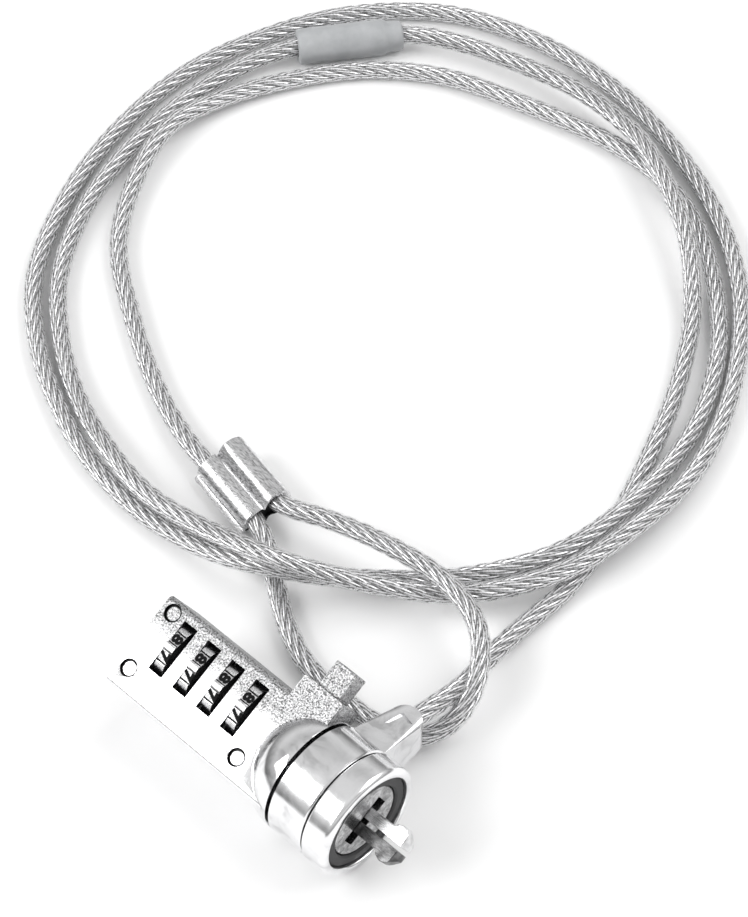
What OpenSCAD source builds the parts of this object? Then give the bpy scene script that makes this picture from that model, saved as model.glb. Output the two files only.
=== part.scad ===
// Combination cable lock for a laptop security slot.
// Lock frame: x runs along the lock's axis from the far end of the case to the claws, the axis is y = 0, z = 0.
// Whole part: the lock lies on z = 0, rolled about its own axis; the cable lies in loose turns beside it.

/* [Case] */
// Length of the flat case, from its far end to the shoulder
case_len = 39; // [36:0.5:42]
// Width of the flat case
case_w = 19.2; // [19.2:0.1:21]
// Height of the case's numbered face above the axis
case_top = 6.8; // [6.8:0.1:7.2]
// Depth of the case's back below the axis
case_bottom = 7.4; // [7.2:0.1:7.4]
// Radius of the long edges
edge_r = 1.1; // [0.6:0.1:1.4]
// Thickness of the wall round the numbered face
wall = 1.2; // [1:0.1:1.3]
// Angle that the lock lies rolled at, thumb-button side up
lock_roll = 28; // [20:1:32]

/* [Dials] */
// Number of dials
dials = 4; // [4:1:4]
// Distance from one dial to the next
dial_pitch = 6; // [6:0.1:6.1]
// Place of the first dial's window along the case
first_dial = 7; // [7:0.1:7.2]
// Outer radius of a dial
dial_r = 6.4; // [6.2:0.1:6.4]
// Width of a dial's rim
dial_w = 2.2; // [2:0.1:2.4]
// Offset of the dials' spindle towards the thumb button
dial_y = 2.25; // [2:0.05:2.3]
// Height of the dials' spindle above the lock's axis
dial_z = 1.3; // [1.2:0.1:1.4]
// Length of a window, across the case
window_len = 10.5; // [10:0.1:10.6]
// Width of a window, along the case
window_w = 3.3; // [3.2:0.05:3.4]

/* [Head] */
// Outer radius of the front cap, which the lock rests on
head_r = 11.4; // [11.3:0.1:12]
// Outer radius of the shoulder and the swivel ring
ring_r = 11.3; // [11:0.1:11.3]
// Outer radius of the neck that the ring turns on
neck_r = 7.6; // [7.5:0.1:7.7]
// Radius of the passage for the claws
passage_r = 5.4; // [5.2:0.1:5.4]
// Where the swivel ring starts along the lock
ring_start = 40.5; // [40.4:0.1:40.6]
// Width of the swivel ring along the lock
ring_w = 7.9; // [7.7:0.1:7.9]
// Length of the front cap
cap_len = 5.6; // [5.4:0.1:5.8]
// Radial clearance of the swivel ring on the neck
swivel_gap = 0.08; // [0.05:0.01:0.1]

/* [Claws] */
// Distance that the claws stand out of the front cap's rim
claw_out = 8.6; // [8.5:0.05:8.7]
// Distance from the axis to the tip of a claw's hook at rest
hook_y = 3.7; // [3.6:0.1:3.8]
// Half thickness of the claws, across the slot's short way
claw_half_t = 1.4; // [1.2:0.1:1.4]
// Place of the claws' pivot along the lock
claw_pivot_x = 43.5; // [43:0.1:44]

/* [Thumb button] */
// Width of the button along the lock
button_w = 4.9; // [4.5:0.1:5]
// Height of the button
button_h = 4.6; // [4:0.1:4.6]
// Distance from the axis to the button's outer face
button_reach = 18.9; // [18:0.1:19]
// Travel of the button when it is pressed
button_travel = 3; // [2:0.1:3]
// Travel of the locking bar when the button is pressed
bar_travel = 1.3; // [1:0.1:1.3]

/* [Cable] */
// Diameter of the jacketed cable
cable_d = 4; // [3.8:0.1:4]
// Radius of each barrel of the crimped ferrule
ferrule_r = 2.95; // [2.8:0.05:3]
// Length of the crimped ferrule
ferrule_len = 16; // [14:0.5:16]
// Outer radius of the soft sleeve on the cable
sleeve_r = 3.75; // [3.5:0.05:3.8]

/* [Hidden] */
$fn = 96;
gap = 0.15;

// The part's origin is under the middle of the lock
place_x = -31;
place_y = -5.35;

// Case
half_w = case_w / 2;
cavity_start = 1.5;
cavity_end = 31;
cavity_low_y = -8.3;
cavity_high_y = 8.95;
cavity_floor = -6.2;
shoulder_base = ring_start - 0.5;
shoulder_len = 10.3;
shoulder_back = 31.8;
shoulder_angle = acos((shoulder_base - shoulder_back) / shoulder_len);
bracket_x = [30.2, 39.4];
bracket_y = 13.5;
bracket_drop = 1.6;
rivet_r = 1.45;
rivet_sink = 0.5;
rivet_rim = 0.28;
rivet_rim_depth = 0.8;
rivet_places = [[2.5, 7.2], [2.3, -5.2], [29.6, -5.3]];
boss_r = 2.2;

// Dials
// the dials sit a little towards the far end of their windows
dial_shift = 0.4;
hub_r = 3.95;
hub_len = 3.4;
bar_r = 1.5;
bar_bore_r = 1.58;
fin_reach = 3;
fin_t = 1;
fin_w = 1.4;
// the fins sit in the gaps between the hubs, clear of them over the bar's travel
fin_place = hub_len / 2 + gap + bar_travel;
bar_start = 4.1;
bar_end = 32.8;
digits = 10;
field_depth = 0.35;
function dial_x(i) = first_dial + i * dial_pitch;

// Head
cap_start = ring_start + ring_w + 0.25;
cap_end = cap_start + cap_len;
neck_end = cap_start + 3.2;
washer_r = 9.6;
washer_in_r = 7.4;
washer_back = neck_end + 0.5;
washer_t = 1.2;
plate_back = neck_end + 0.05;
plate_front = washer_back + washer_t - 0.3;
slot_len = 9.6;
slot_w = 3.4;
cap_edge_r = 1.2;

// Claws
claw_tip_x = cap_end + claw_out;
pin_r = 0.9;
pin_bore_r = 0.95;
pin_half = neck_r - 0.2;
lap_gap = 0.05;
claw_gap = 0.45;
blade_y = 2.6;
nose_len = 0.9;
nose_z = -0.3;

// Thumb button
button_x = 35.35;
button_z = 3.5;
stem_end = 6;
spring_bore_r = 1.75;
spring_seat = -6.8;

// Lug
lug_x = 13;
lug_z = 10 - head_r;
lug_tip = 22.1;
lug_root_z = 5.2;
lug_top_z = 2.3;
lug_slope = atan((lug_root_z - lug_top_z) / (lug_tip - neck_r - 2));
recess_depth = 0.45;
stop_r = 2.9;
stop_from = 8.4;
stop_to = 12.6;

// Cable: the route of its middle, from the lug through the turns and the ferrule to the end of the loop
cable_route = [
    // out of the lug, down to the floor and up the right side
    [13, 4, 10], [13, 18, 10], [13, 25, 8.5], [12, 32, 6], [10, 41, 3.5], [9, 51, 2], [9, 61, 2],
    [6, 76, 2], [0, 93, 2], [-8, 111, 2], [-18, 127, 3], [-30, 139, 6], [-39, 145, 6.4],
    // over the third turn and round the back, through the sleeve
    [-48, 150, 6.4], [-58, 154, 5.5], [-74, 156, 4], [-91, 153, 3.2], [-102, 149, 3.5],
    [-111, 143, 3.8], [-125, 124, 3.8],
    // down the left side and across the front, over the loop and the third turn
    [-129, 114, 3.2], [-131, 100, 2.6], [-130, 84, 2.2], [-125, 66, 2], [-115, 49, 2], [-103, 38, 2],
    [-90, 30, 2.6], [-75, 24, 4.5], [-60, 21, 5.5], [-48, 22, 6.5], [-38, 23, 9], [-29, 25, 10.2],
    [-22, 29, 9], [-13, 36, 6.5], [-2, 46, 5],
    // outermost up the right side, round the back and down the left
    [8, 62, 6.2], [10, 75, 6], [9, 94, 3.5], [4, 110, 2.2], [-5, 126, 2], [-18, 141, 2], [-34, 152, 2],
    [-52, 159, 2.4], [-71, 163, 2], [-91, 162, 2], [-110, 155, 2], [-125, 140, 2], [-133, 123, 2],
    [-137, 104, 2], [-135, 83, 2], [-129, 64, 2], [-118, 45, 2], [-104, 33, 2], [-91, 26, 2],
    // across the front again, under the second turn
    [-77, 21, 2], [-61, 19, 2], [-48, 20, 3], [-38, 22, 5], [-31, 25, 6.2], [-24, 30, 5.4],
    [-16, 39, 3], [-7, 49, 2.4], [4, 64, 6], [6, 77, 6], [4, 95, 3.4],
    // third turn, innermost, up the right side and back to the ferrule
    [-1, 111, 2], [-10, 126, 2], [-22, 138, 2], [-35, 147, 2], [-48, 151, 2], [-62, 151, 2],
    [-80, 147, 2], [-98, 141, 2], [-111, 131, 2], [-120, 118, 2.2], [-126, 103, 3], [-127, 90, 4],
    [-122, 76, 2.8], [-112, 62, 2], [-98, 52, 2], [-80, 42, 2], [-67, 37, 2.6], [-58, 35, 3],
    // through the ferrule, under the lock's raised side, over the front turns and back into the ferrule
    [-43, 32, 3], [-38, 30, 2.4], [-32, 26, 2], [-23, 20, 2], [-14, 16, 2], [-6, 15, 2], [2, 15, 2],
    [9, 16, 2.4], [14, 19, 3.5], [16, 24, 5.5], [15, 30, 8], [10, 37, 9.5], [4, 41, 9.6],
    [-6, 43, 9.5], [-19, 42, 8.5], [-31, 40, 6.5], [-42, 37, 5], [-58, 40.2, 5]
];
tube_sides = 8;
tube_r = cable_d / 2 - 0.05;
ferrule_in = [-58, 35, 3];
ferrule_out = [-43, 32, 3];
ferrule_loop = [-42, 37, 5];
sleeve_from = [-111, 143, 3.8];
sleeve_to = [-125, 124, 3.8];

function unit(v) = v / norm(v);
function tangent(p, i) = unit(p[min(i + 1, len(p) - 1)] - p[max(i - 1, 0)]);
function ring_at(p, i, r, n, ref) =
    let (t = tangent(p, i), side = unit(cross(ref, t)), up = cross(t, side))
    [for (k = [0:n - 1]) p[i] + r * (cos(360 * k / n) * side + sin(360 * k / n) * up)];

// One closed tube of radius r along the points p
module tube_along(p, r, n, ref) {
    last = (len(p) - 1) * n;
    polyhedron(
        [for (i = [0:len(p) - 1]) each ring_at(p, i, r, n, ref)],
        concat(
            [[for (k = [0:n - 1]) k]],
            [[for (k = [n - 1:-1:0]) last + k]],
            [for (i = [0:len(p) - 2], k = [0:n - 1])
                [i * n + k, (i + 1) * n + k, (i + 1) * n + (k + 1) % n, i * n + (k + 1) % n]]
        ),
        convexity = 10
    );
}

// A coil spring pressed solid, along +x from the origin, its turns just touching
module coil_spring(length, radius, wire_r) {
    turns = ceil(length / (1.9 * wire_r));
    pitch = (length - 2 * wire_r) / (turns - 1);
    rotate([0, 90, 0]) rotate_extrude()
        for (i = [0:turns - 1]) translate([radius, wire_r + i * pitch]) circle(r = wire_r, $fn = 24);
}

// Places the lock's own frame in the part, rolled as it lies
module in_lock() { translate([place_x, place_y, head_r]) rotate([lock_roll, 0, 0]) children(); }

// Places the swivel ring's frame, which stays level with the floor
module in_ring() { translate([place_x, place_y, head_r]) children(); }

// A solid of revolution about the lock's axis, from its outline of [x, radius] points
module turned(outline) { rotate([0, 90, 0]) rotate_extrude() polygon([for (q = outline) [q[1], q[0]]]); }

// A round bar or bore about a line parallel to the axis
module along_x(x0, x1, r, y = 0, z = 0) { translate([x0, y, z]) rotate([0, 90, 0]) cylinder(h = x1 - x0, r = r); }

// A box from one corner to the other
module box(low, high) { translate(low) cube(high - low); }

// The case's section across the axis, with rounded long edges
module case_section() {
    translate([-case_top + edge_r, -half_w]) square([case_top + case_bottom - 2 * edge_r, case_w]);
    translate([-case_top, -half_w + edge_r]) square([case_top + case_bottom, case_w - 2 * edge_r]);
    for (down = [-case_top + edge_r, case_bottom - edge_r], side = [-half_w + edge_r, half_w - edge_r])
        translate([down, side]) circle(r = edge_r, $fn = 48);
}

module case_block() { rotate([0, 90, 0]) linear_extrude(height = case_len) case_section(); }

// The shoulder's domed outline, from where it leaves the case to its widest edge
function shoulder_outline(grow) = [
    for (i = [0:14]) let (a = shoulder_angle + (90 - shoulder_angle) * i / 14)
        [shoulder_base - shoulder_len * cos(a) - grow * cos(a), (ring_r + grow) * sin(a)]
];

// The room that the shoulder takes in the case
module shoulder_room() {
    turned(concat([[shoulder_back - 0.03, 0]], [[shoulder_back - 0.03, ring_r * sin(shoulder_angle) + 0.1]],
        shoulder_outline(0.03), [[case_len + 1, ring_r + 0.03], [case_len + 1, 0]]));
}

module cavity() {
    box([cavity_start, cavity_low_y, cavity_floor], [cavity_end, cavity_high_y, case_top - wall]);
}

module rivet_holes(r, from_z, to_z) {
    for (q = rivet_places) translate([q[0], q[1], from_z]) cylinder(h = to_z - from_z, r = r, $fn = 48);
}

module button_hole(margin) {
    box([button_x - button_w / 2 - margin, stem_end - 4, button_z - button_h / 2 - margin],
        [button_x + button_w / 2 + margin, bracket_y + 1, button_z + button_h / 2 + margin]);
}

// The square way that the locking bar slides through, between the dials and the head
module bar_way() {
    half = bar_bore_r + 0.05;
    box([cavity_end - 1, dial_y - half, dial_z - half], [cavity_end + 3, dial_y + half, dial_z + half]);
}

module spring_bore() {
    translate([button_x, spring_seat - 0.05, button_z]) rotate([-90, 0, 0])
        cylinder(h = 14, r = spring_bore_r, $fn = 48);
}

module case_body() {
    color("silver") in_lock() difference() {
        union() {
            intersection() {
                case_block();
                box([0, -half_w, -case_bottom], [case_len, half_w, 0]);
            }
            box([bracket_x[0], half_w - 1.5, -bracket_drop], [bracket_x[1], bracket_y, 0]);
        }
        shoulder_room();
        difference() {
            cavity();
            rivet_holes(boss_r, cavity_floor - 1, 0);
        }
        rivet_holes(rivet_r + 0.02, -5.2, case_top + 1);
        bar_way();
    }
}

// The domed shoulder and the neck that the swivel ring turns on
module head_shoulder() {
    color("silver") in_lock() difference() {
        turned(concat([[shoulder_back, passage_r]], shoulder_outline(0),
            [[shoulder_base, neck_r], [neck_end, neck_r], [neck_end, passage_r]]));
        button_hole(gap);
        spring_bore();
        translate([claw_pivot_x, 0, -neck_r - 1]) cylinder(h = 2 * neck_r + 2, r = pin_r, $fn = 48);
    }
}

module case_cover() {
    color("gainsboro") in_lock() difference() {
        union() {
            intersection() {
                case_block();
                box([0, -half_w, 0], [case_len, half_w, case_top]);
            }
            box([bracket_x[0], half_w - 1.5, 0], [bracket_x[1], bracket_y, case_top]);
        }
        shoulder_room();
        difference() {
            cavity();
            rivet_holes(boss_r, 0, case_top);
        }
        rivet_holes(rivet_r + 0.02, -1, case_top + 1);
        rivet_holes(rivet_r + rivet_rim, case_top - rivet_rim_depth, case_top + 1);
        button_hole(gap);
        bar_way();
        for (i = [0:dials - 1])
            box([dial_x(i) - window_w / 2, dial_y - window_len / 2, case_top - wall - 1],
                [dial_x(i) + window_w / 2, dial_y + window_len / 2, case_top + 1]);
    }
}

module case_rivets() { color("lightgrey") in_lock() rivet_holes(rivet_r, -5.2, case_top - rivet_sink); }

// A numbered dial: a ring with one shallow field for each digit, ribs between them
module dial(i) {
    x0 = dial_x(i) - dial_shift - dial_w / 2;
    color("silver") in_lock() translate([0, dial_y, dial_z]) difference() {
        along_x(x0, x0 + dial_w, dial_r);
        along_x(x0 - 1, x0 + dial_w + 1, hub_r + 0.02);
        for (k = [0:digits - 1]) rotate([360 * (k + 0.5) / digits, 0, 0])
            box([x0 - 1, -1.3, dial_r - field_depth], [x0 + dial_w + 1, 1.3, dial_r + 1]);
    }
}

// A dial's hub, with the slot that lets one fin of the locking bar in at the set digit
module dial_hub(i) {
    x0 = dial_x(i) - hub_len / 2;
    color("goldenrod") in_lock() translate([0, dial_y, dial_z]) difference() {
        along_x(x0, x0 + hub_len, hub_r);
        along_x(x0 - 1, x0 + hub_len + 1, bar_bore_r);
        box([x0 - 1, -fin_w / 2 - 0.15, -fin_reach - 0.15], [x0 + hub_len + 1, fin_w / 2 + 0.15, 0]);
    }
}

module locking_bar() {
    color("darkgoldenrod") in_lock() translate([0, dial_y, dial_z]) {
        along_x(bar_start, bar_end, bar_r);
        for (i = [0:dials - 1]) box(
            [dial_x(i) + fin_place, -fin_w / 2, -fin_reach],
            [dial_x(i) + fin_place + fin_t, fin_w / 2, 0]);
    }
}

// Both springs are as long as they are with the button pressed
module bar_spring() {
    color("dimgray") in_lock() translate([cavity_start + 0.02, dial_y, dial_z])
        coil_spring(bar_start - cavity_start - bar_travel - 0.06, 1.1, 0.2);
}

// A comb of leaf springs that clicks into the dials
module detent_spring() {
    plate_y = cavity_low_y + 0.05;
    leaf_t = 0.3;
    nose_r = 0.7;
    nose_y = dial_y - dial_r - 0.1 - nose_r;
    color("darkgray") in_lock() {
        box([cavity_start + 3, plate_y, -5], [cavity_end - 4, plate_y + leaf_t, 4.5]);
        for (i = [0:dials - 1]) translate([dial_x(i) - 1.2, 0, 0]) {
            box([0, plate_y, dial_z - 0.2], [2.1, nose_y, dial_z + 0.2]);
            along_x(0, 2.1, nose_r, nose_y, dial_z);
        }
    }
}

module thumb_button() {
    x0 = button_x - button_w / 2;
    z0 = button_z - button_h / 2;
    color("silver") in_lock() difference() {
        union() {
            box([x0, bracket_y - 3.2, z0], [x0 + button_w, button_reach, z0 + button_h]);
            box([x0 + 0.3, stem_end, z0 + 0.3], [x0 + button_w - 0.3, bracket_y - 3, z0 + button_h - 0.3]);
        }
        // slanted nose that drives the claws' tails and the locking bar
        translate([x0, stem_end, z0 - 1]) rotate([0, 0, 45]) cube([2.4, 2.4, button_h + 2]);
    }
}

module button_spring() {
    color("dimgray") in_lock() translate([button_x, spring_seat, button_z]) rotate([0, 0, 90])
        coil_spring(stem_end - spring_seat - button_travel - 0.1, 1.3, 0.3);
}

// One claw: a blade with an outward hook, a lapped eye on the pivot pin and a short tail
module claw(side) {
    low = claw_gap * side;
    high = blade_y * side;
    hook_back = cap_end + 4.4;
    difference() {
        union() {
            intersection() {
                translate([0, 0, -claw_half_t]) linear_extrude(height = 2 * claw_half_t) polygon([
                    [claw_pivot_x - 4, low], [claw_tip_x, low], [claw_tip_x, 1.7 * side],
                    [claw_tip_x - 0.5, 2.3 * side], [claw_tip_x - 1, 2.9 * side],
                    [claw_tip_x - 1.5, (hook_y - 0.35) * side], [claw_tip_x - 2, (hook_y - 0.08) * side],
                    [claw_tip_x - 2.5, hook_y * side], [claw_tip_x - 3, (hook_y - 0.12) * side],
                    [hook_back + 0.4, (hook_y - 0.5) * side], [hook_back, high],
                    [claw_pivot_x + 3, high], [claw_pivot_x, 2.4 * side], [claw_pivot_x - 4, 2 * side]
                ]);
                // side view, with the nose chamfered on top
                translate([0, 10, 0]) rotate([90, 0, 0]) linear_extrude(height = 20) polygon([
                    [claw_pivot_x - 5, -claw_half_t], [claw_tip_x, -claw_half_t], [claw_tip_x, nose_z],
                    [claw_tip_x - nose_len, claw_half_t], [claw_pivot_x - 5, claw_half_t]
                ]);
                union() {
                    box([claw_pivot_x + 3, -10, -2], [claw_tip_x + 1, 10, 2]);
                    box([claw_pivot_x - 5, -10, side > 0 ? lap_gap : -2],
                        [claw_pivot_x + 4, 10, side > 0 ? 2 : -lap_gap]);
                }
            }
            translate([claw_pivot_x, 0, side > 0 ? lap_gap : -claw_half_t])
                cylinder(h = claw_half_t - lap_gap, r = 2.6, $fn = 48);
        }
        translate([claw_pivot_x, 0, -3]) cylinder(h = 6, r = pin_bore_r, $fn = 48);
    }
}

module claw_upper() { color("silver") in_lock() claw(1); }
module claw_lower() { color("silver") in_lock() claw(-1); }

module claw_pin() {
    color("dimgray") in_lock() translate([claw_pivot_x, 0, -pin_half]) cylinder(h = 2 * pin_half, r = pin_r, $fn = 48);
}

module front_cap() {
    steps = 8;
    color("silver") in_lock() turned(concat(
        [[cap_start, neck_r + 0.01], [cap_start, head_r - 0.4], [cap_start + 0.4, head_r],
            [cap_end - cap_edge_r, head_r]],
        [for (i = [1:steps]) let (a = 90 * i / steps)
            [cap_end - cap_edge_r * (1 - sin(a)), head_r - cap_edge_r * (1 - cos(a))]],
        [[cap_end, washer_r + 0.3], [cap_end - 0.3, washer_r + 0.05], [washer_back, washer_r + 0.05],
            [washer_back, washer_in_r], [neck_end, washer_in_r], [neck_end, neck_r + 0.01]]
    ));
}

module rubber_washer() {
    color("black") in_lock() turned([
        [washer_back, washer_in_r + 0.05], [washer_back, washer_r], [washer_back + washer_t - 0.3, washer_r],
        [washer_back + washer_t, washer_r - 0.4], [washer_back + washer_t, washer_in_r + 0.4],
        [washer_back + washer_t - 0.3, washer_in_r + 0.05]
    ]);
}

module face_plate() {
    color("gainsboro") in_lock() difference() {
        turned([
            [plate_back, 0], [plate_back, washer_in_r - 0.02], [plate_front - 0.3, washer_in_r - 0.02],
            [plate_front, washer_in_r - 0.35], [plate_front, 0]
        ]);
        box([plate_back - 1, -slot_len / 2, -slot_w / 2], [plate_front + 1, slot_len / 2, slot_w / 2]);
    }
}

// The ring that turns on the neck, with the lug that holds the cable
module swivel_ring() {
    bore_r = neck_r + swivel_gap;
    mid = ring_start + ring_w / 2;
    color("silver") in_ring() difference() {
        union() {
            turned([
                [ring_start, bore_r], [ring_start, ring_r - 0.3], [ring_start + 0.3, ring_r],
                [ring_start + ring_w - 0.3, ring_r], [ring_start + ring_w, ring_r - 0.3],
                [ring_start + ring_w, bore_r]
            ]);
            hull() {
                box([mid - ring_w / 2 + 0.1, neck_r + 1, -5], [mid + ring_w / 2 - 0.1, neck_r + 2, lug_root_z]);
                translate([mid, lug_tip - 3.2, lug_z - 3.3]) cylinder(h = lug_top_z - lug_z + 3.3, r = 3.2, $fn = 32);
            }
        }
        along_x(ring_start - 1, ring_start + ring_w + 1, bore_r);
        translate([lug_x - place_x, 0, lug_z]) rotate([-90, 0, 0]) {
            cylinder(h = 30, r = cable_d / 2, $fn = 48);
            translate([0, 0, neck_r - 1]) cylinder(h = stop_to + 0.2 - neck_r + 1, r = stop_r + 0.02, $fn = 48);
        }
        // shallow three-cornered recess in the lug's sloping upper face
        translate([mid, neck_r + 2, lug_root_z]) rotate([-lug_slope, 0, 0]) translate([0, 0, -recess_depth])
            linear_extrude(height = 2) polygon([[-1.5, 5.6], [2, 9.5], [-0.9, 10.2]]);
    }
}

// The crimped stop on the cable's end, inside the lug
module cable_stop() {
    color("dimgray") in_ring() translate([lug_x - place_x, stop_from, lug_z]) rotate([-90, 0, 0]) difference() {
        cylinder(h = stop_to - stop_from, r = stop_r, $fn = 48);
        translate([0, 0, -1]) cylinder(h = stop_to - stop_from + 2, r = cable_d / 2, $fn = 48);
    }
}

module cable() { color("lightsteelblue") tube_along(cable_route, tube_r, tube_sides, [0, 0, 1]); }

// Lays a piece that runs along +x so that it runs from one point to another
module laid(from, to) {
    run = to - from;
    translate((from + to) / 2) rotate([0, -asin(run[2] / norm(run)), atan2(run[1], run[0])]) children();
}

// The double-barrelled ferrule that closes the loop
module ferrule() {
    across = ferrule_loop - ferrule_out;
    shift = [0, norm([across[0], across[1]]) * 0.98, across[2]];
    half = ferrule_len / 2;
    color("silver") laid(ferrule_in, ferrule_out) difference() {
        union() {
            for (q = [[0, 0, 0], shift]) along_x(-half, half, ferrule_r, q[1], q[2]);
            translate([-half, 0, 0]) rotate([atan2(shift[2], shift[1]), 0, 0])
                box([0, 0, -1.6], [ferrule_len, norm(shift), 1.6]);
        }
        for (q = [[0, 0, 0], shift]) along_x(-half - 1, half + 1, cable_d / 2, q[1], q[2]);
    }
}

// The soft sleeve that keeps the turns of a stored cable together
module cable_sleeve() {
    half = 11;
    color("darkgray") laid(sleeve_from, sleeve_to) rotate([0, 90, 0]) rotate_extrude() polygon([
        [cable_d / 2, -half], [sleeve_r - 0.9, -half], [sleeve_r - 0.4, -half + 0.6], [sleeve_r - 0.2, -half + 3],
        [sleeve_r, -half + 3.6], [sleeve_r, half - 0.5], [sleeve_r - 0.5, half], [cable_d / 2, half]
    ]);
}

case_body();
case_cover();
case_rivets();
head_shoulder();
dial(0);  // dial_1
dial(1);  // dial_2
dial(2);  // dial_3
dial(3);  // dial_4
dial_hub(0);  // dial_hub_1
dial_hub(1);  // dial_hub_2
dial_hub(2);  // dial_hub_3
dial_hub(3);  // dial_hub_4
locking_bar();
bar_spring();
detent_spring();
thumb_button();
button_spring();
claw_upper();
claw_lower();
claw_pin();
front_cap();
rubber_washer();
face_plate();
swivel_ring();
cable_stop();
cable();
ferrule();
cable_sleeve();
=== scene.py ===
"""Looks of the laptop cable lock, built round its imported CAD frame. Everything is in metres."""

import math

import bmesh
import bpy
from mathutils import Matrix, Vector, noise


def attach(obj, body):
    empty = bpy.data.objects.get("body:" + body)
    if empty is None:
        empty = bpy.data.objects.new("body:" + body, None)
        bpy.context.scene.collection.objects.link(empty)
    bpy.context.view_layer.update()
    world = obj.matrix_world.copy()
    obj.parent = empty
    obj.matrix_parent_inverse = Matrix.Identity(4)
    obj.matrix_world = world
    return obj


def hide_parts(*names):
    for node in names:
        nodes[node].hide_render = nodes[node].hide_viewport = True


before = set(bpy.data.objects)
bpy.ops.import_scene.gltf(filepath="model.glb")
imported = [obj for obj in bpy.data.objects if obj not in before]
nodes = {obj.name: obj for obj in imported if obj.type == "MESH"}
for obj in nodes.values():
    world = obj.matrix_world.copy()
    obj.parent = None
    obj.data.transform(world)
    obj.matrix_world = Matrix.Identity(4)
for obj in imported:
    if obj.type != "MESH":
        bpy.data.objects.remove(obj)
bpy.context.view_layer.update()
scene = bpy.context.scene
MM = 0.001

# ---------------------------------------------------------------- camera
CAMERA_AZIMUTH = math.radians(44.27)
CAMERA_ELEVATION = math.radians(51.27)
CAMERA_DISTANCE = 0.7167
CAMERA_TARGET = Vector((-0.0391, 0.0598, 0.0))

back = Vector((
    math.sin(CAMERA_AZIMUTH) * math.cos(CAMERA_ELEVATION),
    -math.cos(CAMERA_AZIMUTH) * math.cos(CAMERA_ELEVATION),
    math.sin(CAMERA_ELEVATION),
))
camera_data = bpy.data.cameras.new("camera")
camera_data.lens = 148.0
camera_data.sensor_width = 36.0
camera_data.clip_start, camera_data.clip_end = 0.01, 20
camera = bpy.data.objects.new("camera", camera_data)
camera.location = CAMERA_TARGET + back * CAMERA_DISTANCE
camera.rotation_mode = "QUATERNION"
camera.rotation_quaternion = (-back).to_track_quat("-Z", "Y")
scene.collection.objects.link(camera)
scene.camera = camera


# ---------------------------------------------------------------- small helpers
def new_object(name, mesh, materials):
    piece = bpy.data.objects.new(name, mesh)
    scene.collection.objects.link(piece)
    for material in materials:
        mesh.materials.append(material)
    return piece


def smooth(mesh, angle=40):
    """Smooth shading with sharp edges kept where faces turn by more than angle degrees."""
    bm = bmesh.new()
    bm.from_mesh(mesh)
    bmesh.ops.recalc_face_normals(bm, faces=bm.faces)
    for face in bm.faces:
        face.smooth = True
    for edge in bm.edges:
        if len(edge.link_faces) == 2 and edge.calc_face_angle(0) > math.radians(angle):
            edge.smooth = False
    bm.to_mesh(mesh)
    bm.free()


class Nodes:
    """Short way to build one material's node tree."""

    def __init__(self, name, **values):
        self.material = bpy.data.materials.new(name)
        self.material.use_nodes = True
        self.tree = self.material.node_tree
        self.shader = self.tree.nodes["Principled BSDF"]
        for key, value in values.items():
            self.shader.inputs[key.replace("_", " ")].default_value = value
        self.position = self.add("ShaderNodeTexCoord").outputs["Object"]

    def add(self, kind, inputs=None, **settings):
        node = self.tree.nodes.new(kind)
        for key, value in settings.items():
            setattr(node, key, value)
        for key, value in (inputs or {}).items():
            self.feed(node.inputs[key], value)
        return node

    def feed(self, socket, value):
        if socket.node.bl_idname == "ShaderNodeMix" and socket.name in ("A", "B"):
            socket = [x for x in socket.node.inputs if x.name == socket.name and x.type == "RGBA"][0]
        if hasattr(value, "is_output") and value.is_output:
            self.tree.links.new(value, socket)
        else:
            socket.default_value = value

    def noise(self, scale, detail=2.0, rough=0.5, vector=None, distortion=0.0):
        return self.add("ShaderNodeTexNoise", {
            "Vector": vector or self.position, "Scale": scale, "Detail": detail,
            "Roughness": rough, "Distortion": distortion,
        }).outputs["Fac"]

    def stretched(self, scale, turn=(0, 0, 0)):
        return self.add("ShaderNodeMapping", {
            "Vector": self.position, "Scale": scale, "Rotation": turn,
        }).outputs["Vector"]

    def span(self, value, low, high, to_low, to_high):
        return self.add("ShaderNodeMapRange", {
            "Value": value, "From Min": low, "From Max": high, "To Min": to_low, "To Max": to_high,
        }).outputs["Result"]

    def maths(self, operation, a, b):
        return self.add("ShaderNodeMath", {0: a, 1: b}, operation=operation).outputs[0]

    def colours(self, value, *stops):
        ramp = self.add("ShaderNodeValToRGB", {"Fac": value})
        elements = ramp.color_ramp.elements
        while len(elements) < len(stops):
            elements.new(0.5)
        for element, (place, colour) in zip(elements, stops):
            element.position = place
            element.color = (*colour, 1)
        return ramp.outputs["Color"]

    def mixed(self, factor, a, b):
        """Colour a where factor is 0, colour b where it is 1."""
        mix = self.add("ShaderNodeMix", {"Factor": factor}, data_type="RGBA")
        self.feed(mix.inputs["A"], a)
        self.feed(mix.inputs["B"], b)
        return [o for o in mix.outputs if o.type == "RGBA"][0]

    def set(self, **links):
        for key, value in links.items():
            self.feed(self.shader.inputs[key.replace("_", " ")], value)
        return self

    def bump(self, height, strength, distance, previous=None):
        inputs = {"Height": height, "Strength": strength, "Distance": distance}
        if previous:
            inputs["Normal"] = previous
        result = self.add("ShaderNodeBump", inputs).outputs["Normal"]
        self.tree.links.new(result, self.shader.inputs["Normal"])
        return result


LOCK_ROLL = math.radians(28)
LOCK_PLACE = Matrix.Translation(Vector((-31, -5.35, 11.4)) * MM) @ Matrix.Rotation(LOCK_ROLL, 4, "X")
CASE_TOP = 6.8
PIN_SINK = 0.5
# Middles of the three counterbores that the closing pins sit in, in the lock's own millimetres
PIN_PLACES = [(2.5, 7.2), (2.3, -5.2), (29.6, -5.3)]


def grey(v):
    return (v, v, v * 1.01)


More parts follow.
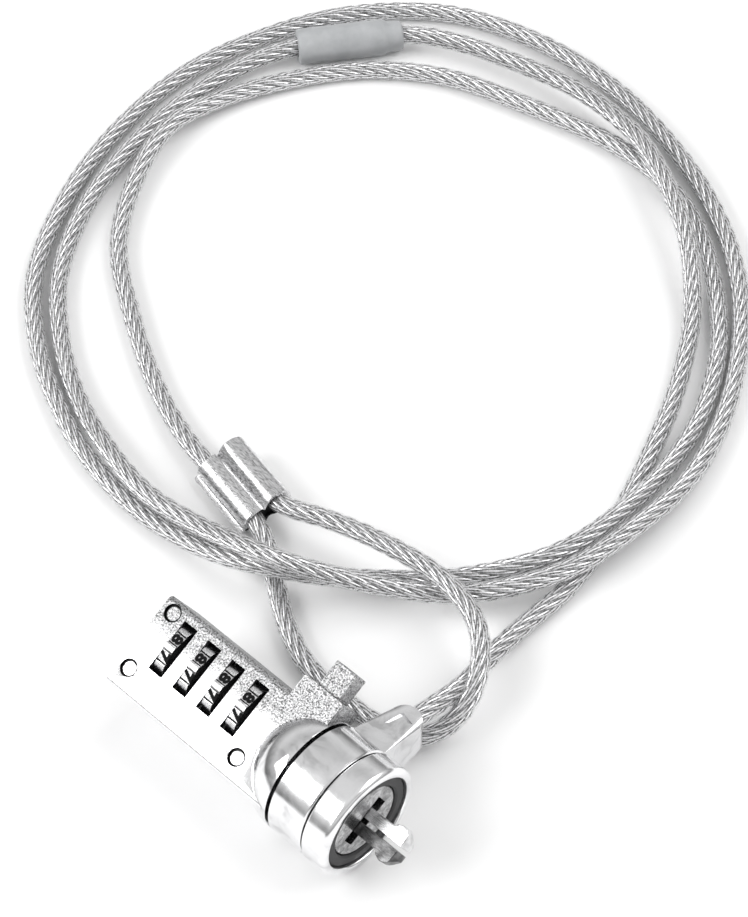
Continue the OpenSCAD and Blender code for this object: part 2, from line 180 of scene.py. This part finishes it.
# ---------------------------------------------------------------- materials
def cast_nickel():
    """Satin cast zinc under bright nickel; away from the thumb button the colour is painted glare, pale and plain,
    and the grain bump is weaker.
    """
    m = Nodes("cast_nickel", Metallic=1.0, Roughness=0.3)
    grain = m.noise(3300, 3, 0.7)
    pits = m.noise(5200, 2, 0.6)
    broad = m.noise(90, 2)
    # painted glare: the side away from the thumb button is coloured pale and plain in place of the speckled grain
    across = m.add("ShaderNodeVectorMath", {
        0: m.position, 1: (0, math.cos(LOCK_ROLL), math.sin(LOCK_ROLL)),
    }, operation="DOT_PRODUCT").outputs["Value"]
    glare_side = m.maths("ADD", across, m.span(broad, 0.3, 0.7, -0.0015, 0.0015))
    cast = m.span(glare_side, -0.0015, 0.0060, 0.0, 1.0)
    speckle = m.colours(grain, (0.38, grey(0.05)), (0.49, grey(0.34)), (0.62, grey(0.70)))
    painted_glare = m.colours(grain, (0.3, grey(0.80)), (0.6, grey(0.93)))
    colour = m.mixed(cast, painted_glare, speckle)
    # painted shade: a near-black ring round each pin, below the case top, in its counterbore
    up = LOCK_PLACE.to_3x3() @ Vector((0, 0, 1))
    top = (LOCK_PLACE @ (Vector((0, 0, CASE_TOP)) * MM)).dot(up)
    height = m.add("ShaderNodeVectorMath", {0: m.position, 1: tuple(up)}, operation="DOT_PRODUCT").outputs["Value"]
    nearest = 1.0
    for x, y in PIN_PLACES:
        middle = LOCK_PLACE @ (Vector((x, y, CASE_TOP - PIN_SINK)) * MM)
        away = m.add("ShaderNodeVectorMath", {0: m.position, 1: tuple(middle)}, operation="DISTANCE").outputs["Value"]
        nearest = m.maths("MINIMUM", away, nearest)
    ring = m.maths(
        "MULTIPLY", m.span(nearest, 0.00120, 0.00132, 0.0, 1.0), m.span(nearest, 0.00188, 0.00195, 1.0, 0.0),
    )
    shaded_pin_ring = m.maths("MULTIPLY", ring, m.span(height, top - 0.00014, top - 0.00006, 1.0, 0.0))
    # near black for the painted shade in the pin rings
    pin_ring_shade_colour = (0.015, 0.015, 0.015, 1)
    m.set(Base_Color=m.mixed(shaded_pin_ring, colour, pin_ring_shade_colour), Roughness=m.span(cast, 0.0, 1.0, 0.24, 0.36))
    m.bump(pits, 0.25, 0.00005, m.bump(grain, m.span(cast, 0.0, 1.0, 0.12, 0.8), 0.00012))
    return m.material


def polished_nickel():
    """Bright nickel, polished round the lock's axis, with faint clouding and hairlines."""
    m = Nodes("polished_nickel", Metallic=1.0, Roughness=0.14)
    cloud = m.noise(160, 3, 0.6, distortion=0.6)
    hair = m.noise(1, 2, 0.5, m.stretched((9000, 500, 500)))
    m.set(
        Base_Color=m.colours(cloud, (0.36, grey(0.66)), (0.45, grey(0.84)), (0.6, grey(0.93))),
        Roughness=m.span(cloud, 0.35, 0.7, 0.1, 0.22),
    )
    m.bump(cloud, 0.06, 0.0002, m.bump(hair, 0.08, 0.00002))
    return m.material


def plate_nickel():
    """Dull plated steel behind the claws, rubbed and dirty round the slot."""
    m = Nodes("plate_nickel", Metallic=1.0, Roughness=0.28)
    smear = m.noise(700, 4, 0.7, distortion=0.4)
    fine = m.noise(2600, 2, 0.6)
    m.set(
        Base_Color=m.colours(smear, (0.36, grey(0.22)), (0.5, grey(0.42)), (0.64, grey(0.66))),
        Roughness=m.span(smear, 0.3, 0.7, 0.34, 0.18),
    )
    m.bump(fine, 0.2, 0.00004, m.bump(smear, 0.12, 0.0002))
    return m.material


def dial_metal():
    """Satin silver, with black flanks as painted shade: the dials' ends face along X, whatever way they are turned.
    """
    m = Nodes("dial_metal", Metallic=1.0, Roughness=0.26)
    fine = m.noise(2200, 2, 0.6)
    facing = m.add("ShaderNodeSeparateXYZ", {0: m.add("ShaderNodeNewGeometry").outputs["Normal"]}).outputs["X"]
    # painted shade: faces turned along X are coloured black and not metallic
    shaded_flank = m.span(m.maths("ABSOLUTE", facing, 0.0), 0.75, 0.9, 0.0, 1.0)
    silver = m.colours(fine, (0.3, grey(0.62)), (0.65, grey(0.88)))
    m.set(
        Base_Color=m.mixed(shaded_flank, silver, (0.012, 0.012, 0.013, 1)),
        Metallic=m.span(shaded_flank, 0.0, 1.0, 1.0, 0.0),
        Roughness=m.span(fine, 0.3, 0.7, 0.2, 0.34),
    )
    m.bump(fine, 0.15, 0.00004)
    return m.material


# black print for the digits, used also as painted shade at the dial ribs' feet and in the ferrule's bore mouths
def black_paint():
    m = Nodes("black_paint", Roughness=0.7)
    m.shader.inputs["Specular IOR Level"].default_value = 0.15
    fleck = m.noise(3000, 2, 0.6)
    m.set(Base_Color=m.colours(fleck, (0.3, (0.002, 0.002, 0.002)), (0.7, (0.008, 0.008, 0.009))))
    m.bump(fleck, 0.2, 0.00003)
    return m.material


# one claw steel, made in a lighter and a darker copy; low and high set the colour's range
def claw_steel(name, low, high):
    m = Nodes(name, Metallic=1.0, Roughness=0.25)
    lines = m.noise(1, 3, 0.6, m.stretched((600, 7000, 7000)))
    wear = m.noise(500, 3, 0.6)
    m.set(
        Base_Color=m.colours(wear, (0.35, grey(low)), (0.62, grey(high))),
        Roughness=m.span(lines, 0.3, 0.7, 0.2, 0.38),
    )
    m.bump(lines, 0.2, 0.00003)
    return m.material


def brass():
    m = Nodes("turned_brass", Metallic=1.0, Roughness=0.3)
    lines = m.noise(1, 3, 0.6, m.stretched((8000, 700, 700)))
    m.set(
        Base_Color=m.colours(lines, (0.3, (0.55, 0.40, 0.16)), (0.7, (0.80, 0.64, 0.33))),
        Roughness=m.span(lines, 0.3, 0.7, 0.22, 0.4),
    )
    m.bump(lines, 0.2, 0.00003)
    return m.material


def moulded_black():
    m = Nodes("moulded_black", Roughness=0.5)
    grain = m.noise(2400, 3, 0.6)
    m.set(
        Base_Color=m.colours(grain, (0.3, (0.008, 0.008, 0.009)), (0.7, (0.03, 0.03, 0.032))),
        Roughness=m.span(grain, 0.3, 0.7, 0.4, 0.6),
    )
    m.bump(grain, 0.2, 0.00004)
    return m.material


def spring_steel():
    m = Nodes("spring_steel", Metallic=1.0, Roughness=0.3)
    drawn = m.noise(1, 2, 0.6, m.stretched((3000, 3000, 900)))
    m.set(
        Base_Color=m.colours(drawn, (0.3, grey(0.36)), (0.7, grey(0.62))),
        Roughness=m.span(drawn, 0.3, 0.7, 0.22, 0.4),
    )
    m.bump(drawn, 0.15, 0.00003)
    return m.material


def black_rubber():
    m = Nodes("black_rubber", Roughness=0.55)
    bloom = m.noise(420, 3, 0.6)
    grain = m.noise(3500, 2, 0.6)
    m.set(
        Base_Color=m.colours(bloom, (0.3, (0.012, 0.012, 0.013)), (0.7, (0.045, 0.045, 0.047))),
        Roughness=m.span(bloom, 0.3, 0.7, 0.42, 0.62),
    )
    m.bump(grain, 0.3, 0.00004)
    return m.material


def strand_steel():
    """Fine drawn wires seen through the jacket, with painted shade: dark in the grooves between them."""
    m = Nodes("strand_steel", Metallic=0.8, Roughness=0.3)
    fine = m.noise(1500, 3, 0.7)
    groove = m.add("ShaderNodeAttribute", attribute_name="groove").outputs["Fac"]
    # painted shade: the colour goes near black in the grooves between the wires
    groove_shade = m.maths("ADD", groove, m.span(fine, 0.3, 0.7, 0.28, -0.28))
    m.set(
        Base_Color=m.colours(groove_shade, (0.34, grey(0.98)), (0.62, grey(0.62)), (0.86, grey(0.03))),
        Roughness=m.span(fine, 0.3, 0.7, 0.22, 0.42),
    )
    m.bump(fine, 0.2, 0.00005)
    return m.material


def clear_jacket():
    m = Nodes("clear_jacket", Base_Color=(0.93, 0.93, 0.94, 1), Roughness=0.14, Alpha=0.12)
    haze = m.noise(700, 2, 0.5)
    m.set(Roughness=m.span(haze, 0.3, 0.7, 0.1, 0.26), Alpha=m.span(haze, 0.3, 0.7, 0.07, 0.16))
    m.bump(haze, 0.1, 0.00008)
    return m.material


def ferrule_metal():
    m = Nodes("ferrule_metal", Metallic=1.0, Roughness=0.2)
    scratches = m.noise(1, 3, 0.7, m.stretched((900, 9000, 2000), (0, 0, math.radians(12))))
    press = m.noise(450, 3, 0.6)
    m.set(
        Base_Color=m.colours(scratches, (0.36, grey(0.22)), (0.47, grey(0.66)), (0.56, grey(0.92))),
        Roughness=m.span(press, 0.3, 0.7, 0.14, 0.3),
    )
    m.bump(scratches, 0.25, 0.00005, m.bump(press, 0.12, 0.0001))
    return m.material


def soft_sleeve():
    m = Nodes("soft_sleeve", Roughness=0.42)
    mottle = m.noise(260, 3, 0.6)
    grain = m.noise(3200, 2, 0.6)
    m.set(
        Base_Color=m.colours(mottle, (0.3, (0.37, 0.38, 0.39)), (0.7, (0.46, 0.47, 0.48))),
        Roughness=m.span(mottle, 0.3, 0.7, 0.34, 0.5),
    )
    m.bump(grain, 0.12, 0.00004)
    return m.material


CAST, POLISHED, DIAL, PRINT_AND_SHADE, PLATE = cast_nickel(), polished_nickel(), dial_metal(), black_paint(), plate_nickel()
# painted light on the upper claw's copy and painted shade on the lower claw's copy of the same steel
CLAW_PAINTED_LIGHT, CLAW_PAINTED_SHADE = claw_steel("claw_painted_light", 0.52, 0.88), claw_steel("claw_painted_shade", 0.05, 0.20)
BRASS, SPRING, RUBBER, HUB = brass(), spring_steel(), black_rubber(), moulded_black()
STRAND, JACKET, CRIMPED, SLEEVE = strand_steel(), clear_jacket(), ferrule_metal(), soft_sleeve()

# ---------------------------------------------------------------- cable
# The route of the cable's middle in millimetres, the same as in the CAD source
CABLE_ROUTE = [
    (13, 4, 10), (13, 18, 10), (13, 25, 8.5), (12, 32, 6), (10, 41, 3.5), (9, 51, 2), (9, 61, 2),
    (6, 76, 2), (0, 93, 2), (-8, 111, 2), (-18, 127, 3), (-30, 139, 6), (-39, 145, 6.4),
    (-48, 150, 6.4), (-58, 154, 5.5), (-74, 156, 4), (-91, 153, 3.2), (-102, 149, 3.5),
    (-111, 143, 3.8), (-125, 124, 3.8),
    (-129, 114, 3.2), (-131, 100, 2.6), (-130, 84, 2.2), (-125, 66, 2), (-115, 49, 2), (-103, 38, 2),
    (-90, 30, 2.6), (-75, 24, 4.5), (-60, 21, 5.5), (-48, 22, 6.5), (-38, 23, 9), (-29, 25, 10.2),
    (-22, 29, 9), (-13, 36, 6.5), (-2, 46, 5),
    (8, 62, 6.2), (10, 75, 6), (9, 94, 3.5), (4, 110, 2.2), (-5, 126, 2), (-18, 141, 2), (-34, 152, 2),
    (-52, 159, 2.4), (-71, 163, 2), (-91, 162, 2), (-110, 155, 2), (-125, 140, 2), (-133, 123, 2),
    (-137, 104, 2), (-135, 83, 2), (-129, 64, 2), (-118, 45, 2), (-104, 33, 2), (-91, 26, 2),
    (-77, 21, 2), (-61, 19, 2), (-48, 20, 3), (-38, 22, 5), (-31, 25, 6.2), (-24, 30, 5.4),
    (-16, 39, 3), (-7, 49, 2.4), (4, 64, 6), (6, 77, 6), (4, 95, 3.4),
    (-1, 111, 2), (-10, 126, 2), (-22, 138, 2), (-35, 147, 2), (-48, 151, 2), (-62, 151, 2),
    (-80, 147, 2), (-98, 141, 2), (-111, 131, 2), (-120, 118, 2.2), (-126, 103, 3), (-127, 90, 4),
    (-122, 76, 2.8), (-112, 62, 2), (-98, 52, 2), (-80, 42, 2), (-67, 37, 2.6), (-58, 35, 3),
    (-43, 32, 3), (-38, 30, 2.4), (-32, 26, 2), (-23, 20, 2), (-14, 16, 2), (-6, 15, 2), (2, 15, 2),
    (9, 16, 2.4), (14, 19, 3.5), (16, 24, 5.5), (15, 30, 8), (10, 37, 9.5), (4, 41, 9.6),
    (-6, 43, 9.5), (-19, 42, 8.5), (-31, 40, 6.5), (-42, 37, 5), (-58, 40.2, 5),
]
CABLE_RADIUS = 2.0 * MM
CORE_RADIUS = 0.72 * MM
STRANDS = 6
STRAND_LAY = 22 * MM
STRAND_RADIUS = 0.6 * MM
STRAND_OFFSET = 1.25 * MM
WIRES = 6
WIRE_LAY = 10 * MM


def smooth_route(points, step):
    """A smooth line through the points, about evenly spaced, that never dips under the floor."""
    points = [Vector(p) * MM for p in points]
    line = []
    for i in range(len(points) - 1):
        a, b = points[i], points[i + 1]
        before = points[i - 1] if i else a * 2 - b
        after = points[i + 2] if i + 2 < len(points) else b * 2 - a
        t0 = 0.0
        t1 = (a - before).length ** 0.5
        t2 = t1 + (b - a).length ** 0.5
        t3 = t2 + (after - b).length ** 0.5
        count = max(2, round((b - a).length / step))
        for k in range(count):
            t = t1 + (t2 - t1) * k / count
            a1 = before * ((t1 - t) / (t1 - t0)) + a * ((t - t0) / (t1 - t0))
            a2 = a * ((t2 - t) / (t2 - t1)) + b * ((t - t1) / (t2 - t1))
            a3 = b * ((t3 - t) / (t3 - t2)) + after * ((t - t2) / (t3 - t2))
            b1 = a1 * ((t2 - t) / (t2 - t0)) + a2 * ((t - t0) / (t2 - t0))
            b2 = a2 * ((t3 - t) / (t3 - t1)) + a3 * ((t - t1) / (t3 - t1))
            line.append(b1 * ((t2 - t) / (t2 - t1)) + b2 * ((t - t1) / (t2 - t1)))
    line.append(points[-1])
    for _ in range(6):
        line = [line[0]] + [
            line[i] * 0.5 + (line[i - 1] + line[i + 1]) * 0.25 for i in range(1, len(line) - 1)
        ] + [line[-1]]
    for p in line:
        p.z = max(p.z, CABLE_RADIUS)
    return line


def frames_along(line):
    """Length so far, tangent and two turning-free normals at each point."""
    out = []
    normal = Vector((0, 0, 1))
    run = 0.0
    for i, p in enumerate(line):
        tangent = (line[min(i + 1, len(line) - 1)] - line[max(i - 1, 0)]).normalized()
        normal = (normal - tangent * normal.dot(tangent)).normalized()
        if i:
            run += (p - line[i - 1]).length
        out.append((run, p, normal.copy(), tangent.cross(normal)))
    return out


def add_tube(bm, rings, material, cap=True, groove=None):
    """Skins a list of rings of points. groove is a layer that is 1 on every second point round."""
    made = [[bm.verts.new(p) for p in ring] for ring in rings]
    n = len(made[0])
    if groove:
        for ring in made:
            for vert in ring[1::2]:
                vert[groove] = 1.0
    for a, b in zip(made, made[1:]):
        for k in range(n):
            face = bm.faces.new((a[k], a[(k + 1) % n], b[(k + 1) % n], b[k]))
            face.material_index = material
            face.smooth = True
    if cap:
        for ring in (made[0][::-1], made[-1]):
            bm.faces.new(ring).material_index = material


cable_line = smooth_route(CABLE_ROUTE, 0.9 * MM)
cable_frames = frames_along(cable_line)
cable_mesh = bpy.data.meshes.new("cable_run")
bm = bmesh.new()
groove_layer = bm.verts.layers.float.new("groove")
for s in range(STRANDS):
    rings = []
    for run, p, n, b in cable_frames:
        turn = 2 * math.pi * (run / STRAND_LAY + s / STRANDS)
        out = n * math.cos(turn) + b * math.sin(turn)
        across = b * math.cos(turn) - n * math.sin(turn)
        centre = p + out * STRAND_OFFSET
        roll = -2 * math.pi * run / WIRE_LAY
        ring = []
        for k in range(2 * WIRES):
            angle = roll + math.pi * k / WIRES
            radius = STRAND_RADIUS * (1.04 if k % 2 == 0 else 0.76)
            ring.append(centre + (out * math.cos(angle) + across * math.sin(angle)) * radius)
        rings.append(ring)
    add_tube(bm, rings, 0, groove=groove_layer)


def round_rings(radius, sides, every):
    """Rings round the cable's middle, at every so many of its points and at its end."""
    angles = [2 * math.pi * k / sides for k in range(sides)]
    places = cable_frames[::every] + [cable_frames[-1]]
    return [[p + (n * math.cos(a) + b * math.sin(a)) * radius for a in angles] for _, p, n, b in places]


add_tube(bm, round_rings(CORE_RADIUS, 6, 4), 0)
add_tube(bm, round_rings(CABLE_RADIUS, 16, 2), 1, cap=False)
bm.to_mesh(cable_mesh)
bm.free()
cable = new_object("cable_run", cable_mesh, [STRAND, JACKET])

# ---------------------------------------------------------------- crimped ferrule
FERRULE_FROM, FERRULE_TO, FERRULE_BACK = Vector((-58, 35, 3)), Vector((-43, 32, 3)), Vector((-42, 37, 5))
FERRULE_R = 2.95


def make_ferrule():
    """Two barrels side by side: a round one, and a flatter one with the flash ridge of the crimping tool."""
    along = (FERRULE_TO - FERRULE_FROM).normalized()
    middle = (FERRULE_FROM + FERRULE_TO) / 2
    side = Vector((-along.y, along.x, 0)).normalized()
    up = along.cross(side)
    across = FERRULE_BACK - FERRULE_TO
    tilt = math.atan2(across.z, math.hypot(across.x, across.y))
    apart = math.hypot(math.hypot(across.x, across.y) * 0.98, across.z)

    def arc(u, v, r, start, stop, steps):
        angles = [math.radians(start + (stop - start) * k / steps) for k in range(steps + 1)]
        return [(u + r * math.cos(a), v + r * math.sin(a)) for a in angles]

    outline = (
        arc(apart, 0, FERRULE_R, -120, 148, 30)
        + [(2.72, 1.42), (2.62, 1.40), (2.5, 1.62), (2.35, 2.15), (2.1, 2.42), (1.3, 2.62), (0.2, 2.7)]
        + [(-0.9, 2.5), (-1.9, 2.0), (-2.55, 1.25), (-2.8, 0.5)]
        + [(-2.86, 0.28), (-3.1, 0.2), (-3.75, 0.25), (-3.85, 0.1), (-3.8, -0.3), (-3.2, -0.5), (-2.85, -0.62)]
        + arc(0, 0, FERRULE_R * 0.98, -168, -62, 12)
        + [(2.3, -1.7), (3.0, -1.7)]
    )
    rings = []
    for x, grow in (
        (-7.3, 0.8), (-8.0, 0.82), (-8.0, 0.95), (-7.85, 1.0), (-5, 0.99), (-2, 1.0),
        (2, 0.99), (5, 1.0), (7.85, 1.0), (8.0, 0.95), (8.0, 0.82), (7.3, 0.8),
    ):
        ring = []
        for u, v in outline:
            uu, vv = apart / 2 + (u - apart / 2) * grow, v * grow
            y = uu * math.cos(tilt) - vv * math.sin(tilt)
            z = uu * math.sin(tilt) + vv * math.cos(tilt)
            ring.append((middle + along * x + side * y + up * z) * MM)
        rings.append(ring)
    bm = bmesh.new()
    add_tube(bm, rings, 0)
    bm.faces.ensure_lookup_table()
    count = len(outline)
    # painted shade: the sunk ends of the barrels, where the cable goes in, are coloured black
    mouth_shade_faces = list(range(count)) + list(range((len(rings) - 2) * count, len(bm.faces)))
    for index in mouth_shade_faces:
        bm.faces[index].material_index = 1
    mesh = bpy.data.meshes.new("ferrule_crimped")
    bm.to_mesh(mesh)
    bm.free()
    smooth(mesh, 32)
    return new_object("ferrule_crimped", mesh, [CRIMPED, PRINT_AND_SHADE])


ferrule = make_ferrule()


# ---------------------------------------------------------------- soft sleeve
def make_sleeve():
    start, end = Vector((-111, 143, 3.8)), Vector((-125, 124, 3.8))
    along = (end - start).normalized()
    middle = (start + end) / 2
    side = Vector((-along.y, along.x, 0)).normalized()
    up = along.cross(side)
    profile = (
        (-10.4, 2.05), (-10.95, 2.2), (-11.0, 2.75), (-10.8, 3.05), (-10.2, 3.2), (-8.2, 3.3), (-7.7, 3.4),
        (-7.3, 3.68), (-6.6, 3.75), (0, 3.72), (6, 3.74), (10.1, 3.72), (10.7, 3.6), (11.0, 3.25),
        (10.98, 2.2), (10.4, 2.05),
    )
    bm = bmesh.new()
    rings = []
    for x, r in profile:
        ring = []
        for k in range(64):
            a = 2 * math.pi * k / 64
            # a little pinched from the sides at the stepped end
            pinch = 1.0 - (0.06 * abs(math.cos(a)) ** 3 if x < -7 else 0.0)
            wobble = 1 + 0.008 * noise.noise(Vector((x * 0.4, math.cos(a) * 2, math.sin(a) * 2)))
            ring.append((middle + along * x + (side * math.cos(a) + up * math.sin(a)) * r * pinch * wobble) * MM)
        rings.append(ring)
    add_tube(bm, rings, 0, cap=False)
    mesh = bpy.data.meshes.new("sleeve_soft")
    bm.to_mesh(mesh)
    bm.free()
    smooth(mesh, 60)
    return new_object("sleeve_soft", mesh, [SLEEVE])


sleeve = make_sleeve()

for piece, node in ((cable, "cable"), (ferrule, "ferrule"), (sleeve, "cable_sleeve")):
    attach(piece, "cable_side")
    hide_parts(node)

# ---------------------------------------------------------------- CAD nodes
LOOKS = {
    "case_body": (CAST, 0.12), "case_cover": (CAST, 0.12), "case_rivets": (CAST, 0.15), "thumb_button": (CAST, 0.18),
    "head_shoulder": (POLISHED, 0.08), "front_cap": (POLISHED, 0.12),
    "face_plate": (PLATE, 0.1), "swivel_ring": (POLISHED, 0.12),
    "locking_bar": (BRASS, 0.06), "bar_spring": (SPRING, 0),
    "button_spring": (SPRING, 0), "detent_spring": (SPRING, 0.04),
    "claw_pin": (SPRING, 0.05), "cable_stop": (SPRING, 0.05),
    "claw_upper": (CLAW_PAINTED_LIGHT, 0.16), "claw_lower": (CLAW_PAINTED_SHADE, 0.16),
    "rubber_washer": (RUBBER, 0.06),
}
for i in range(1, 5):
    LOOKS["dial_%d" % i] = (DIAL, 0.05)
    LOOKS["dial_hub_%d" % i] = (HUB, 0.05)
for name, (material, bevel) in LOOKS.items():
    node = nodes[name]
    if not node.material_slots:
        node.data.materials.append(material)
    for holder in node.material_slots:
        holder.material = material
    if bevel:
        weld = node.modifiers.new("weld", "WELD")
        weld.merge_threshold = 1e-6
        rounding = node.modifiers.new("rounding", "BEVEL")
        rounding.width = bevel * MM
        rounding.segments = 2
        rounding.limit_method = "ANGLE"
        rounding.angle_limit = math.radians(32)
        rounding.use_clamp_overlap = True
        normals = node.modifiers.new("normals", "WEIGHTED_NORMAL")
        normals.keep_sharp = False

# ---------------------------------------------------------------- digits on the dials, with painted shade lines at the ribs
DIAL_X = [7 + 6 * i - 0.4 for i in range(4)]
DIAL_CENTRE = (2.25, 1.3)
DIAL_R, DIAL_W = 6.4, 2.2
FIELD_R = DIAL_R - 0.35
DIGIT_STRETCH = (1.36, 1.1)
SHOWN_DIGIT, SHOWN_ANGLE = 7, 18
LINE_OFFSET, LINE_HALF, LINE_MARGIN = 1.15, 0.13, 0.05
PAINT_THICKNESS = 0.03


def digit_mesh(digit):
    curve = bpy.data.curves.new("digit", "FONT")
    curve.body = str(digit)
    curve.align_x, curve.align_y = "CENTER", "CENTER"
    curve.size = 2.5
    curve.offset = 0.13
    curve.extrude = 0.04
    curve.resolution_u = 3
    holder = bpy.data.objects.new("digit", curve)
    scene.collection.objects.link(holder)
    bpy.context.view_layer.update()
    mesh = bpy.data.meshes.new_from_object(holder.evaluated_get(bpy.context.evaluated_depsgraph_get()))
    bpy.data.objects.remove(holder)
    return mesh


digit_meshes = [digit_mesh(d) for d in range(10)]
for i in range(4):
    bm = bmesh.new()
    for d in range(10):
        theta = math.radians(SHOWN_ANGLE - 36 * (d - SHOWN_DIGIT))
        outward = Vector((0, -math.sin(theta), math.cos(theta)))
        right = Vector((0, -math.cos(theta), -math.sin(theta)))
        up = Vector((1, 0, 0))
        place = Matrix((
            (right.x, up.x, outward.x, DIAL_X[i]),
            (right.y, up.y, outward.y, DIAL_CENTRE[0] + outward.y * (FIELD_R + PAINT_THICKNESS)),
            (right.z, up.z, outward.z, DIAL_CENTRE[1] + outward.z * (FIELD_R + PAINT_THICKNESS)),
            (0, 0, 0, 1),
        ))
        part = digit_meshes[d].copy()
        middle = [(min(v.co[a] for v in part.vertices) + max(v.co[a] for v in part.vertices)) / 2 for a in (0, 1)]
        to_middle = Matrix.Translation((-middle[0], -middle[1], 0))
        part.transform(Matrix.Scale(MM, 4) @ place @ Matrix.Diagonal((*DIGIT_STRETCH, 1, 1)) @ to_middle)
        bm.from_mesh(part)
        bpy.data.meshes.remove(part)
        # painted shade: the dark line at the foot of each rib
        for edge in (-LINE_OFFSET, LINE_OFFSET):
            low = Vector((DIAL_X[i] - DIAL_W / 2 + LINE_MARGIN, 0, 0))
            base = Vector((0, DIAL_CENTRE[0], DIAL_CENTRE[1])) + outward * (FIELD_R + 0.02) + right * edge
            corners = []
            reach = DIAL_W - 2 * LINE_MARGIN
            for along, across in ((0, -LINE_HALF), (reach, -LINE_HALF), (reach, LINE_HALF), (0, LINE_HALF)):
                corners.append(low + base + up * along + right * across)
            top = [bm.verts.new(c * MM) for c in corners]
            foot = [bm.verts.new((c - outward * PAINT_THICKNESS) * MM) for c in corners]
            bm.faces.new(top)
            bm.faces.new(foot[::-1])
            for k in range(4):
                bm.faces.new((top[k], foot[k], foot[(k + 1) % 4], top[(k + 1) % 4]))
    mesh = bpy.data.meshes.new("dial_digits_%d" % (i + 1))
    bmesh.ops.recalc_face_normals(bm, faces=bm.faces)
    bm.to_mesh(mesh)
    bm.free()
    mesh.transform(LOCK_PLACE)
    marks = new_object("dial_digits_%d" % (i + 1), mesh, [PRINT_AND_SHADE])
    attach(marks, "dial_wheel_%d" % (i + 1))
for mesh in digit_meshes:
    bpy.data.meshes.remove(mesh)

# ---------------------------------------------------------------- floor, world and lights
floor_mesh = bpy.data.meshes.new("floor")
bm = bmesh.new()
bmesh.ops.create_grid(bm, x_segments=1, y_segments=1, size=3)
bm.to_mesh(floor_mesh)
bm.free()
floor_look = Nodes("pale_floor", Base_Color=(0.97, 0.97, 0.97, 1), Roughness=0.9)
floor = new_object("floor", floor_mesh, [floor_look.material])
floor.location.z = -0.00005

world = bpy.data.worlds.new("studio")
scene.world = world
world.use_nodes = True
tree = world.node_tree
background = tree.nodes["Background"]
coords = tree.nodes.new("ShaderNodeTexCoord")
split = tree.nodes.new("ShaderNodeSeparateXYZ")
ramp = tree.nodes.new("ShaderNodeValToRGB")
tree.links.new(coords.outputs["Generated"], split.inputs[0])
tree.links.new(split.outputs["Z"], ramp.inputs["Fac"])
stops = [(0.0, 0.6), (0.05, 0.22), (0.18, 0.45), (0.42, 0.85), (0.7, 0.62), (1.0, 0.9)]
while len(ramp.color_ramp.elements) < len(stops):
    ramp.color_ramp.elements.new(0.5)
for element, (place, value) in zip(ramp.color_ramp.elements, stops):
    element.position = place
    element.color = (value, value, value, 1)
tree.links.new(ramp.outputs["Color"], background.inputs["Color"])
background.inputs["Strength"].default_value = 0.85


def area_light(name, location, target, size, power):
    data = bpy.data.lights.new(name, "AREA")
    data.shape = "RECTANGLE"
    data.size, data.size_y = size
    data.energy = power
    lamp = bpy.data.objects.new(name, data)
    lamp.location = location
    lamp.rotation_mode = "QUATERNION"
    lamp.rotation_quaternion = (Vector(target) - Vector(location)).to_track_quat("-Z", "Y")
    scene.collection.objects.link(lamp)


area_light("key", (-0.42, -0.72, 0.72), (-0.03, 0.05, 0), (0.8, 0.55), 7)
area_light("top", (0.35, 0.75, 1.0), (-0.05, 0.07, 0), (1.2, 0.8), 7)

scene.view_settings.view_transform = "Standard"
scene.view_settings.look = "None"
